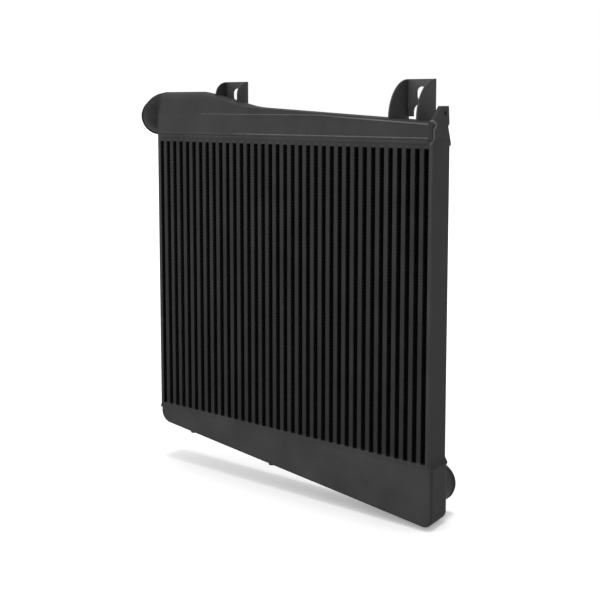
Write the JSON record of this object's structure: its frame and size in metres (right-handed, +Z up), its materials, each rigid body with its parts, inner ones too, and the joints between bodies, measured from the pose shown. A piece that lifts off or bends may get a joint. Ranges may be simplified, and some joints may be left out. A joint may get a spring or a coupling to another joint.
{
  "type": "intercooler",
  "caption": "Upright bar-and-plate charge-air cooler with a crowned upper tank and inlet elbow, a tapering lower tank with a rear outlet, and slotted hanger brackets.",
  "frame": {"origin": "midway between the centres of the two hanger slots, on the rear face of the bracket webs", "axes": "+X along the core from the inlet end to the outlet end, +Y from the front face to the back, +Z up"},
  "size_m": [0.7683, 0.1124, 0.8168],
  "materials": {
    "tank_paint": "satin black paint over cast aluminium, faint casting texture",
    "core_paint": "satin black paint over brazed aluminium bars and plates",
    "fin_paint": "matt black paint over folded aluminium fins",
    "bracket_paint": "satin black paint over folded sheet steel",
    "turbulator_metal": "bare folded strip, hidden in the passages"
  },
  "bodies": {
    "root": {"upper_tank": "tank_paint", "upper_end_plate": "tank_paint", "lower_tank": "tank_paint", "left_side_plate": "core_paint", "right_side_plate": "core_paint", "inner_fins": "turbulator_metal", "air_fins": "fin_paint", "upper_closing_bars": "core_paint", "lower_closing_bars": "core_paint", "left_bracket": "bracket_paint", "right_bracket": "bracket_paint", "charge_passage_01": "core_paint", "charge_passage_02": "core_paint", "charge_passage_03": "core_paint", "charge_passage_04": "core_paint", "charge_passage_05": "core_paint", "charge_passage_06": "core_paint", "charge_passage_07": "core_paint", "charge_passage_08": "core_paint", "charge_passage_09": "core_paint", "charge_passage_10": "core_paint", "charge_passage_11": "core_paint", "charge_passage_12": "core_paint", "charge_passage_13": "core_paint", "charge_passage_14": "core_paint", "charge_passage_15": "core_paint", "charge_passage_16": "core_paint", "charge_passage_17": "core_paint", "charge_passage_18": "core_paint", "charge_passage_19": "core_paint", "charge_passage_20": "core_paint", "charge_passage_21": "core_paint", "charge_passage_22": "core_paint", "charge_passage_23": "core_paint", "charge_passage_24": "core_paint", "charge_passage_25": "core_paint", "charge_passage_26": "core_paint", "charge_passage_27": "core_paint", "charge_passage_28": "core_paint", "charge_passage_29": "core_paint", "charge_passage_30": "core_paint", "charge_passage_31": "core_paint", "charge_passage_32": "core_paint", "charge_passage_33": "core_paint", "charge_passage_34": "core_paint", "charge_passage_35": "core_paint"}
  },
  "joints": []
}
